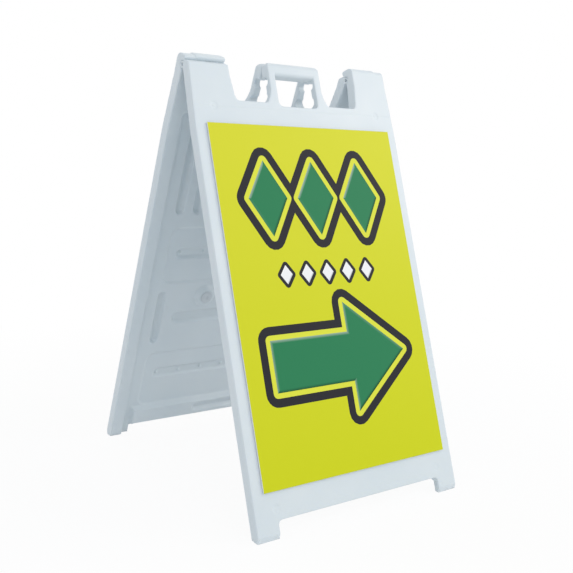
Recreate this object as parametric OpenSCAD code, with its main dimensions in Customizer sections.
// Folding two-sided pavement sign: two identical hollow moulded panels that hook together at their
// top corners, a corrugated sheet stuck on each outer face, and a plugged filler for ballast in each.
// One panel is drawn lying in its own frame: X across, Y outward from the plane in which the two
// panels meet when folded, Z up the panel from the hinge axis.

/* [Sheets] */
// Width of the corrugated sheet
sheet_w = 610; // [540:1:700]
// Height of the corrugated sheet
sheet_h = 914; // [820:1:1020]
// Thickness of the corrugated sheet
sheet_t = 4; // [2:0.5:6]
// Thickness of each of its two faces
liner_t = 0.4; // [0.3:0.05:0.8]
// Distance from one of its ribs to the next
rib_pitch = 5; // [4:0.5:10]
// Thickness of its ribs
rib_t = 0.3; // [0.3:0.05:0.8]
// Side of a fastening pad
pad_w = 50; // [30:1:80]
// Thickness of each half of a fastening pad
pad_t = 0.8; // [0.4:0.1:1.5]
// Distance of a pad from the sheet's edges
pad_in = 20; // [5:1:60]

/* [Panel] */
// Width of the panel's face left bare beside the sheet
side_border = 32.5; // [20:0.5:60]
// Distance of the sheet's top edge below the hinge axis
top_border = 163; // [142:1:190]
// Height of the panel's face left bare below the sheet, down to the arch between the feet
low_border = 70; // [50:1:110]
// Thickness of a panel from the fold plane to its outer face
panel_t = 31; // [28:0.5:38]
// Thickness of the moulding's wall
wall = 2.4; // [1.6:0.1:2.8]
// Lean of each panel from upright when the sign stands open, in degrees
lean = 19.5; // [16:0.1:24]
// Gap left between the two inner faces when the sign is folded
fold_gap = 1; // [0.6:0.1:3]
// How far each side draws in towards the top
shoulder_in = 6; // [2:0.5:12]
// Distance below the hinge axis at which the sides begin to draw in
shoulder_drop = 180; // [130:5:260]

/* [Feet] */
// Width of a foot
foot_w = 67; // [56:1:90]
// Height of the crossbar's lower edge above the inner edge of the feet
foot_h = 35; // [25:1:60]
// Radius of the corners between feet and crossbar
foot_fillet = 12; // [4:1:20]
// Depth of the bevel at the outer edge under each foot
bevel_d = 6.5; // [3:0.5:10]
// Height of that bevel
bevel_h = 16; // [8:1:24]

/* [Ears and gaps] */
// Width of an ear at its root
ear_w = 135; // [110:1:160]
// How much each ear draws in towards the top on its inner side
ear_draw = 8.5; // [0:0.5:12]
// Depth of the gaps beside the handle, below the hinge axis
gap_depth = 97; // [93:1:112]
// Radius of the gaps' outer corners
gap_fillet = 10; // [4:1:20]

/* [Hinge] */
// Radius of the hinge bead
bead_r = 9.5; // [8:0.1:10]
// Running gap between the bead and the hook round it
bead_gap = 0.5; // [0.3:0.1:0.8]
// Angle from the panel's outward direction, over the top, at which the hook ends, in degrees
hook_wrap = 114; // [110:1:120]
// Radius of the hook's blunt tip
hook_tip_r = 5; // [2:0.5:6]
// Height of the hook ear's top above the axis
ear_top = 28; // [26:0.5:30]
// Radius of the outer top edge of the hook ear
ear_top_r = 16; // [10:1:18]
// Height of the hinge block below the axis
hinge_drop = 30; // [24:1:40]
// Gap between the hook's end and the other panel's shoulder when the sign stands open
stop_gap = 0.4; // [0.3:0.1:1]
// Distance of the stop shoulder's outer edge below the axis
stop_low = 4.3; // [2:0.1:8]
// Slope at which that shoulder falls away from the hook, in degrees
stop_slope = 35; // [25:1:45]
// Radius of the shoulder's outer edge
stop_r = 5; // [2:0.5:7]
// Width of the lower step at the outer end of each hook
step_w = 33; // [24:1:50]
// Depth of that step
step_d = 3; // [1:0.5:4]
// Radius of the collar that keeps the hook from sliding along the bead
collar_r = 13.5; // [11.5:0.5:14.5]
// Width of the collar
collar_w = 12; // [8:1:16]
// Distance of the collar from the bead's outer end
collar_in = 12; // [8:1:30]
// Radius of the core mark in each end of the bead
core_r = 4.5; // [2:0.5:6]
// Depth of the core mark
core_d = 14; // [4:1:30]

/* [Handle] */
// Width of the handle over its two posts
handle_w = 173; // [150:1:190]
// Width of the hand gap
grip_w = 132; // [110:1:140]
// Height of the handle's top above the axis
handle_top = 19; // [16:0.5:24]
// Distance of the bar's lower face below the axis
bar_drop = 20; // [18:0.5:26]
// Distance of the hand gap's floor below the axis
grip_floor = 105; // [98:1:109]
// Radius of the bar's outer top edge
bar_top_r = 17; // [10:0.5:18]
// Radius of the bar's lower edges
bar_low_r = 10; // [6:0.5:10.5]
// Radius of the handle's top corners, seen from in front
handle_corner_r = 14; // [6:1:18]
// Radius of the lower corners of the hand gap
grip_r = 14; // [6:1:20]
// Height over which the posts flare at their roots
flare_h = 48; // [30:1:60]
// How far each post flares out at its root
flare_out = 17; // [8:1:24]
// Depth of the posts' inner faces behind the fold plane
post_in = 10.5; // [8:0.5:12]
// Depth of the finger hollow right under the bar, behind the fold plane
finger_top_d = 21.5; // [18:0.5:22]
// Radius of that hollow
finger_top_r = 12; // [10:0.5:13]
// Depth of the lower finger hollow
finger_low_d = 16; // [13:0.5:20]
// Radius of the lower finger hollow
finger_low_r = 13; // [11:0.5:14]
// Distance of the lower finger hollow's middle below the axis
finger_low = 78; // [74:0.5:79]
// Radius of the hollow through the bar
bar_bore_r = 9; // [6:0.5:10]

/* [Inner face] */
// Width of the rim down each side
rim_w = 38; // [30:1:46]
// Depth of the web behind the rims
web_d = 16; // [12:0.5:17]
// Distance of the web's top edge below the axis
web_top = 120; // [116:1:140]
// Height of the web's lower edge above the inner edge of the feet
web_foot = 86; // [74:1:90]
// Slope of the rims' inner walls, across
rim_draft = 8; // [4:0.5:12]
// Radius of the web's corners
web_r = 20; // [14:1:30]
// Width of the channel that runs down into each foot
channel_w = 34; // [20:1:40]
// Depth of the floors of the slots, from the fold plane
slot_d = 27.6; // [24:0.2:28.2]
// Distance of the two large shallow recesses from the rims
recess_in = 46; // [40:1:66]
// Depth of those recesses below the web
recess_d = 4; // [2:0.5:5]
// Radius of their corners
recess_r = 30; // [16:1:40]
// Top edge of the upper recess, as a share of the web's height, measured down from its top
upper_top_share = 0.351; // [0.34:0.001:0.36]
// Lower edge of the upper recess
upper_low_share = 0.538; // [0.52:0.001:0.54]
// Top edge of the lower recess
lower_top_share = 0.788; // [0.78:0.001:0.8]
// Lower edge of the lower recess
lower_low_share = 0.992; // [0.97:0.001:0.994]
// Width of the slots across the two recesses
slot_w = 36; // [28:1:42]
// Distance of the slot in the upper recess from that recess's sides
slot_a_in = 32; // [26:1:60]
// Middle of that slot
slot_a_share = 0.439; // [0.43:0.001:0.46]
// Distance of the slot between the recesses from the rims
slot_c_in = 104; // [80:1:120]
// Middle of that slot
slot_c_share = 0.663; // [0.66:0.001:0.68]
// Width of that slot
slot_c_w = 44; // [34:1:46]
// Distance of the slot in the lower recess from that recess's sides
slot_d_in = 38; // [26:1:60]
// Middle of that slot
slot_d_share = 0.871; // [0.86:0.001:0.9]
// Distance of the outer upright slots from the rims
upright_in = 59; // [56:1:66]
// Distance of the inner upright slots from the rims
inner_upright_in = 118; // [112:1:130]
// Width of the outer upright slots
upright_w = 28; // [24:1:32]
// Width of the inner upright slots
inner_upright_w = 33; // [26:1:36]
// Upper end of the upright slots at the top
long_top_share = 0.031; // [0.02:0.001:0.08]
// Lower end of the upright slots at the top
long_low_share = 0.309; // [0.27:0.001:0.32]
// Upper end of the short upright slots
short_top_share = 0.565; // [0.56:0.001:0.59]
// Lower end of the short upright slots
short_low_share = 0.753; // [0.72:0.001:0.76]
// Radius of the bumps in the slots across
bump_r = 6; // [4:0.5:7]
// Height of the bumps
bump_h = 5; // [2:0.5:6]
// Number of bumps in each of these slots
bump_count = 6; // [2:1:8]
// Distance of the outermost bumps from the slots' ends
bump_in = 14; // [10:1:40]

/* [Grip recess] */
// Left end of the grip recess in the lower rim
grip_x0 = -52; // [-120:1:-30]
// Right end of the grip recess
grip_x1 = 168; // [60:1:220]
// Height of the grip recess's middle above the inner edge of the feet
grip_up = 64; // [60:1:66]
// Width of the grip recess
grip_h = 32; // [20:1:34]
// Depth of the grip recess
grip_d = 12; // [6:0.5:14]

/* [Filler] */
// Distance of the filler from the middle, on the side of the panel's hook
filler_x = 92; // [70:1:120]
// Middle of the filler, as a share of the web's height, measured down from its top
filler_share = 0.59; // [0.586:0.001:0.596]
// Radius of the filler boss at its foot
boss_r = 40; // [34:1:42]
// Radius of the boss at its top
boss_top_r = 25; // [23:0.5:28]
// Depth of the boss's top below the fold plane
boss_sink = 4; // [3.8:0.1:7]
// Radius of the filler hole
hole_r = 15; // [10:0.5:16]
// Wall of the neck below the filler hole
neck_wall = 2.4; // [1.5:0.1:3]
// Depth of the neck
neck_d = 12; // [8:0.5:14]
// Radius of the plug's head
plug_head_r = 19; // [17:0.5:22]
// Thickness of the plug's head
plug_head_t = 2.6; // [1.5:0.1:3]
// Gap between the plug and the hole
plug_gap = 0.3; // [0.1:0.05:0.4]
// Length of the plug's shank
plug_len = 13; // [8:0.5:16]
// Wall of the plug's shank
plug_wall = 1.8; // [1.2:0.1:2.5]
// Radius of the dimple in the plug's head
dimple_r = 5.5; // [3:0.5:8]
// Depth of that dimple
dimple_d = 1.4; // [0.5:0.1:1.4]

/* [Locating marks] */
// Radius of the round marks on the outer face
mark_r = 11; // [6:0.5:14]
// Depth of the marks
mark_d = 1; // [0.4:0.1:1.2]
// Distance of the marks from the panel's sides
mark_in = 65; // [40:1:90]
// Distance of the upper marks below the axis
mark_top = 116; // [114:1:120]
// Height of the lower marks above the inner edge of the feet
mark_up = 62; // [58:1:72]

/* [Hidden] */
$fn = 64;
round_fn = 128;
over = panel_t / 10;
least = wall / 100;
panel_w = sheet_w + 2 * side_border;
panel_len = top_border + sheet_h + low_border + foot_h;
half_w = panel_w / 2;
top_half_w = half_w - shoulder_in;
ear_in = half_w - ear_w;
ear_in_top = ear_in + ear_draw;
face_in = fold_gap / 2;
crossbar_low = panel_len - foot_h;
bevel_slope = atan2(bevel_h - bevel_d * tan(lean), bevel_d);
hinge_h = panel_len * cos(lean) - face_in * sin(lean);
socket_r = bead_r + bead_gap;
shoulder_angle = 180 - 2 * lean - hook_wrap;
bar_middle = (handle_top - bar_drop) / 2;
finger_top = bar_drop + finger_top_r;
flare_r = (flare_h * flare_h + flare_out * flare_out) / (2 * flare_out);
rim_x = half_w - rim_w;
channel_x = rim_x - channel_w;
recess_x = rim_x - recess_in;
web_low = panel_len - web_foot;
grip_z = panel_len - grip_up;
filler_z = down_web(filler_share);
mark_x = half_w - mark_in;
mark_low = panel_len - mark_up;
body_len = panel_len + 2 * panel_t;
far = 2 * body_len;
slot_draft_share = 0.8;
recess_floor = web_d + recess_d;
flute_count = floor((sheet_w - rib_t) / rib_pitch);
skin = panel_t - wall;
panel_grey = [0.855, 0.886, 0.902];
sheet_yellow = [0.83, 0.84, 0.20];
pad_black = [0.10, 0.10, 0.11];
plug_grey = [0.80, 0.83, 0.85];

// Distance below the axis of a place given as a share of the web's height
function down_web(share) = web_top + share * (web_low - web_top);

// Height of the ground at depth s, in the panel's frame, when the sign stands open
function ground_z(s) = -(hinge_h + s * sin(lean)) / cos(lean);

// Turns a shape drawn in X and Z, from depth s0 to s1, into a solid
module plate(s0, s1) translate([0, s1, 0]) rotate([90, 0, 0]) linear_extrude(s1 - s0) children();

// Runs a shape drawn in depth and height along X from x0 to x1
module along_x(x0, x1)
    translate([x0, 0, 0]) rotate([90, 0, 90]) linear_extrude(x1 - x0) children();

// A cone or disc whose axis runs outward, from depth s0 with radius r0 to depth s1 with radius r1
module disc(x, z, s0, s1, r0, r1)
    translate([x, s0, z]) rotate([-90, 0, 0]) cylinder(h = s1 - s0, r1 = r0, r2 = r1);

module both_sides() { children(); mirror([1, 0, 0]) children(); }

// A pocket sunk from depth s0 to s1, with corners of radius r and walls that draw in by draft
module pocket(x0, x1, z0, z1, s0, s1, r, draft, grow = 0) {
    a0 = x0 - grow; a1 = x1 + grow; b0 = z0 - grow; b1 = z1 + grow; q = r + grow;
    for (x = [a0 + q, a1 - q], z = [b0 + q, b1 - q]) disc(x, z, s0, s1, q, q - draft);
    if (b1 - b0 > 2 * q + least) translate([0, 0, b0 + q]) linear_extrude(b1 - b0 - 2 * q)
        polygon([[a0, s0], [a1, s0], [a1 - draft, s1], [a0 + draft, s1]]);
    if (a1 - a0 > 2 * q + least) along_x(a0 + q, a1 - q)
        polygon([[s0, b0], [s0, b1], [s1, b1 - draft], [s1, b0 + draft]]);
}

// A slot with round ends, centred on x and z, sunk from depth s0 to s1
module slot(x, z, w, h, s0, grow = 0, s1 = slot_d) {
    r = min(w, h) / 2;
    draft = min((s1 - s0) * slot_draft_share, r / 2);
    pocket(x - w / 2, x + w / 2, z - h / 2, z + h / 2, s0, s1, r, draft, grow);
}

// An upright slot between two places down the web
module upright_slot(x, w, top_share, low_share, grow, s1)
    slot(x, -down_web((top_share + low_share) / 2), w,
         down_web(low_share) - down_web(top_share), web_d, grow, s1);

module slots(grow = 0, s1 = slot_d) {
    both_sides() {
        upright_slot(rim_x - upright_in, upright_w, long_top_share, long_low_share, grow, s1);
        upright_slot(rim_x - inner_upright_in, inner_upright_w, long_top_share, long_low_share, grow, s1);
        upright_slot(rim_x - upright_in, upright_w, short_top_share, short_low_share, grow, s1);
    }
    slot(0, -down_web(slot_a_share), 2 * (recess_x - slot_a_in), slot_w, recess_floor, grow, s1);
    slot(0, -down_web(slot_c_share), 2 * (rim_x - slot_c_in), slot_c_w, web_d, grow, s1);
    slot(0, -down_web(slot_d_share), 2 * (recess_x - slot_d_in), slot_w, recess_floor, grow, s1);
}

// The rounded rim walls, the large recesses and the channels down into the feet
module web(grow = 0) {
    pocket(-rim_x, rim_x, -web_low, -web_top, 0, web_d + grow, web_r, rim_draft, grow);
    for (edges = [[upper_top_share, upper_low_share], [lower_top_share, lower_low_share]])
        pocket(-recess_x, recess_x, -down_web(edges[1]), -down_web(edges[0]),
               web_d, recess_floor + grow, recess_r, recess_d, grow);
    both_sides() translate([0, 0, -body_len]) linear_extrude(body_len - web_low + web_r + rim_draft)
        polygon([[channel_x - grow, 0], [rim_x + grow, 0], [rim_x + grow - rim_draft, web_d + grow],
                 [channel_x - grow + rim_draft, web_d + grow]]);
    pocket(grip_x0, grip_x1, -grip_z - grip_h / 2, -grip_z + grip_h / 2, 0, grip_d + grow,
           grip_h / 2, grip_d * slot_draft_share, grow);
}

// The low bumps in the slots across
module bumps() for (row = [[slot_a_share, slot_a_in], [slot_d_share, slot_d_in]], i = [0 : bump_count - 1])
    disc((2 * i / (bump_count - 1) - 1) * (recess_x - row[1] - bump_in), -down_web(row[0]),
         slot_d - bump_h, slot_d + over / 2, bump_r / 2, bump_r);

// Half of the panel's outline below the hinge blocks, drawn in by inset
module half_outline(inset = 0) {
    x_in = ear_in + inset;
    polygon([
        [0, -gap_depth - inset], [x_in, -gap_depth - inset], [ear_in_top + inset, -hinge_drop],
        [top_half_w - inset, -hinge_drop], [half_w - inset, -shoulder_drop], [half_w - inset, -body_len],
        [half_w - foot_w + inset, -body_len], [half_w - foot_w + inset, -crossbar_low + inset],
        [0, -crossbar_low + inset]
    ]);
}

module fillet(x, z, r, dx, dz) translate([x, z]) difference() {
    translate([min(0, dx * r), min(0, dz * r)]) square(r);
    translate([dx * r, dz * r]) circle(r);
}

// Parts of the outline that lie below the ground, or above it by lift, are cut with this
module above_ground(lift = 0)
    rotate([-lean, 0, 0]) translate([-far / 2, -far / 2, lift - hinge_h]) cube(far);

module slab() plate(face_in, panel_t) both_sides() {
    half_outline();
    fillet(ear_in, -gap_depth, gap_fillet, -1, 1);
    fillet(half_w - foot_w, -crossbar_low, foot_fillet, -1, -1);
}

// The bevel under the outer edge of the feet, moved into the panel by inset
module foot_bevel(inset = 0)
    translate([0, -inset * sin(bevel_slope), inset * cos(bevel_slope)])
    along_x(-far / 2, far / 2) polygon([
        [panel_t, ground_z(panel_t) + bevel_h], [panel_t + over, ground_z(panel_t) + bevel_h],
        [panel_t + over, ground_z(panel_t) - panel_t], [panel_t - bevel_d, ground_z(panel_t) - panel_t],
        [panel_t - bevel_d, ground_z(panel_t - bevel_d)]
    ]);

// Section of an ear that ends in a hook with a blunt tip, lowered by drop
module hook_section(drop) difference() {
    top = ear_top - drop;
    end = [cos(hook_wrap), sin(hook_wrap)];
    tip = [(hook_tip_r + (top - hook_tip_r) * end[0]) / end[1], top - hook_tip_r];
    union() {
        translate([face_in, -hinge_drop]) square([panel_t - face_in, hinge_drop + top - ear_top_r]);
        translate([panel_t - ear_top_r, top - ear_top_r]) circle(ear_top_r);
        polygon([[0, 0], (tip * end) * end, tip, [tip[0], top], [panel_t - ear_top_r, top],
                 [panel_t - ear_top_r, 0]]);
        translate(tip) circle(hook_tip_r);
    }
    circle(socket_r);
}

// Section of an ear that ends in a bead. The shoulder beside it stops the other panel's hook and
// falls away outward, which leaves an open notch between the two.
module bead_section() {
    edge = [panel_t - stop_r, stop_r * (tan(stop_slope) - 1 / cos(stop_slope)) - stop_low];
    circle(bead_r);
    intersection() {
        union() {
            polygon([[face_in, -hinge_drop], [panel_t, -hinge_drop], [panel_t, edge[1]],
                     edge + stop_r * [sin(stop_slope), cos(stop_slope)],
                     [0, panel_t * tan(stop_slope) - stop_low], [face_in, 0]]);
            translate(edge) circle(stop_r);
        }
        rotate(shoulder_angle) translate([-far / 2, -far - stop_gap]) square([far, far]);
    }
}

module hook_ear() difference() {
    union() {
        along_x(-top_half_w, -top_half_w + step_w) hook_section(step_d);
        along_x(-top_half_w + step_w, -ear_in_top) hook_section(0);
    }
    along_x(-top_half_w + collar_in - bead_gap, -top_half_w + collar_in + collar_w + bead_gap)
        circle(collar_r + bead_gap);
}

module bead_ear() difference() {
    union() {
        along_x(ear_in_top, top_half_w) bead_section();
        along_x(top_half_w - collar_in - collar_w, top_half_w - collar_in) circle(collar_r);
    }
    for (x = [ear_in_top - over, top_half_w - core_d]) along_x(x, x + core_d + over) circle(core_r);
}

// Outline of the handle from in front, without the hand gap
module handle_outline() {
    translate([-handle_w / 2, -gap_depth - over])
        square([handle_w, gap_depth + over + handle_top - handle_corner_r]);
    translate([-handle_w / 2 + handle_corner_r, 0])
        square([handle_w - 2 * handle_corner_r, handle_top]);
    for (side = [-1, 1]) translate([side * (handle_w / 2 - handle_corner_r), handle_top - handle_corner_r])
        circle(handle_corner_r);
    both_sides() difference() {
        translate([0, -gap_depth - over]) square([handle_w / 2 + flare_out, flare_h + over]);
        translate([handle_w / 2 + flare_r, -gap_depth + flare_h]) circle(flare_r, $fn = round_fn);
    }
}

module grip_outline() {
    x = grip_w / 2;
    translate([-x, -grip_floor + grip_r]) square([grip_w, grip_floor - grip_r]);
    translate([-x + grip_r, -grip_floor]) square([grip_w - 2 * grip_r, grip_floor]);
    for (side = [-1, 1]) translate([side * (x - grip_r), -grip_floor + grip_r]) circle(grip_r);
}

// Section of the bar, sloped on its inner side so that the two bars close face to face when open
module bar_section() difference() {
    union() {
        translate([face_in, -bar_drop + bar_low_r])
            square([panel_t - face_in, bar_drop - bar_low_r + handle_top - bar_top_r]);
        translate([panel_t - bar_top_r, handle_top - bar_top_r]) circle(bar_top_r);
        translate([face_in, 0]) square([panel_t - bar_top_r - face_in, handle_top]);
        for (s = [face_in + bar_low_r, panel_t - bar_low_r])
            translate([s, -bar_drop + bar_low_r]) circle(bar_low_r);
        translate([face_in + bar_low_r, -bar_drop]) square([panel_t - face_in - 2 * bar_low_r, bar_drop]);
    }
    polygon([[-far, -far], [face_in, -far], [face_in, 0], [face_in + far * tan(lean), far], [-far, far]]);
}

// The finger hollows in the posts, which thin them from the inner side
module finger_hollows() along_x(-handle_w, handle_w) {
    translate([-over, -finger_low]) square([post_in + over, finger_low - finger_top]);
    translate([finger_top_d - finger_top_r, -finger_top]) circle(finger_top_r);
    translate([finger_low_d - finger_low_r, -finger_low]) circle(finger_low_r);
}

module handle() {
    intersection() {
        plate(-over, panel_t + over) handle_outline();
        along_x(-handle_w, handle_w) bar_section();
    }
    difference() {
        plate(face_in, panel_t) difference() {
            intersection() {
                handle_outline();
                translate([-handle_w, -far - bar_low_r]) square([2 * handle_w, far]);
            }
            grip_outline();
        }
        finger_hollows();
    }
}

module filler_boss() disc(-filler_x, -filler_z, boss_sink, web_d + over, boss_top_r, boss_r);

// The hollow inside the moulding, which follows the relief of the inner face
module hollow() {
    difference() {
        intersection() {
            plate(face_in + wall, skin) both_sides() half_outline(wall);
            above_ground(wall);
            translate([-far / 2, 0, -far - hinge_drop - wall]) cube(far);
        }
        web(wall);
        slots(wall, panel_t);
        foot_bevel(wall);
        // The floor of the hand gap keeps its wall
        translate([-grip_w / 2 - wall, 0, -grip_floor - wall]) cube([grip_w + 2 * wall, far, far]);
        disc(-filler_x, -filler_z, boss_sink, panel_t, hole_r + neck_wall, hole_r + neck_wall);
    }
    difference() {
        disc(-filler_x, -filler_z, boss_sink + wall, skin, boss_top_r - wall, boss_r - wall);
        disc(-filler_x, -filler_z, boss_sink, boss_sink + neck_d, hole_r + neck_wall, hole_r + neck_wall);
        slots(wall, panel_t);
    }
    along_x(-handle_w / 2 + wall, handle_w / 2 - wall)
        translate([panel_t / 2, bar_middle]) circle(bar_bore_r);
    post_w = (handle_w - grip_w) / 2;
    both_sides() translate([grip_w / 2 + wall, finger_top_d + wall, -gap_depth - 2 * wall])
        cube([post_w - 2 * wall, skin - finger_top_d - wall, gap_depth + 2 * wall + bar_middle]);
}

module panel() color(panel_grey) difference() {
    union() {
        difference() {
            union() {
                intersection() { slab(); above_ground(); }
                hook_ear();
                bead_ear();
                handle();
            }
            web();
            slots();
            foot_bevel();
        }
        filler_boss();
        bumps();
    }
    difference() {
        plate(-over, panel_t + over) intersection() {
            grip_outline();
            translate([-handle_w, -far - bar_drop]) square([2 * handle_w, far]);
        }
        along_x(-handle_w, handle_w) bar_section();
    }
    hollow();
    disc(-filler_x, -filler_z, boss_sink - over, boss_sink + neck_d + over, hole_r, hole_r);
    for (x = [-mark_x, mark_x], z = [-mark_top, -mark_low])
        disc(x, z, panel_t - mark_d, panel_t + over, mark_r, mark_r);
}

// Two thin faces joined by upright ribs, open at the top and bottom edges
module sheet() color(sheet_yellow) translate([-sheet_w / 2, panel_t + 2 * pad_t, -top_border - sheet_h])
    linear_extrude(sheet_h) difference() {
        square([sheet_w, sheet_t]);
        for (i = [0 : flute_count - 1])
            translate([(sheet_w - flute_count * rib_pitch + rib_t) / 2 + i * rib_pitch, liner_t])
                square([rib_pitch - rib_t, sheet_t - 2 * liner_t]);
    }

// Four pads near the sheet's corners, starting at depth s0
module pads(s0) color(pad_black) plate(s0, s0 + pad_t)
    for (x = [-sheet_w / 2 + pad_in, sheet_w / 2 - pad_in - pad_w],
         z = [-top_border - pad_in - pad_w, -top_border - sheet_h + pad_in])
        translate([x, z]) square(pad_w);

module plug() color(plug_grey) difference() {
    head = boss_sink - plug_head_t;
    union() {
        disc(-filler_x, -filler_z, head, head + plug_head_t, plug_head_r, plug_head_r);
        disc(-filler_x, -filler_z, head, head + plug_len, hole_r - plug_gap, hole_r - plug_gap);
    }
    disc(-filler_x, -filler_z, head + plug_head_t, head + plug_len + over,
         hole_r - plug_gap - plug_wall, hole_r - plug_gap - plug_wall);
    disc(-filler_x, -filler_z, head - over, head + dimple_d, dimple_r, dimple_r);
}

// Stands a panel's pieces up at the sign's lean, behind the hinge or, turned about, in front of it
module rear() translate([0, 0, hinge_h]) rotate([lean, 0, 0]) children();
module front() rotate([0, 0, 180]) rear() children();

front() panel();  // front_panel
rear() panel();  // rear_panel
front() sheet();  // front_sheet
rear() sheet();  // rear_sheet
front() pads(panel_t);  // front_loop_pads
front() pads(panel_t + pad_t);  // front_hook_pads
rear() pads(panel_t);  // rear_loop_pads
rear() pads(panel_t + pad_t);  // rear_hook_pads
front() plug();  // front_fill_plug
rear() plug();  // rear_fill_plug
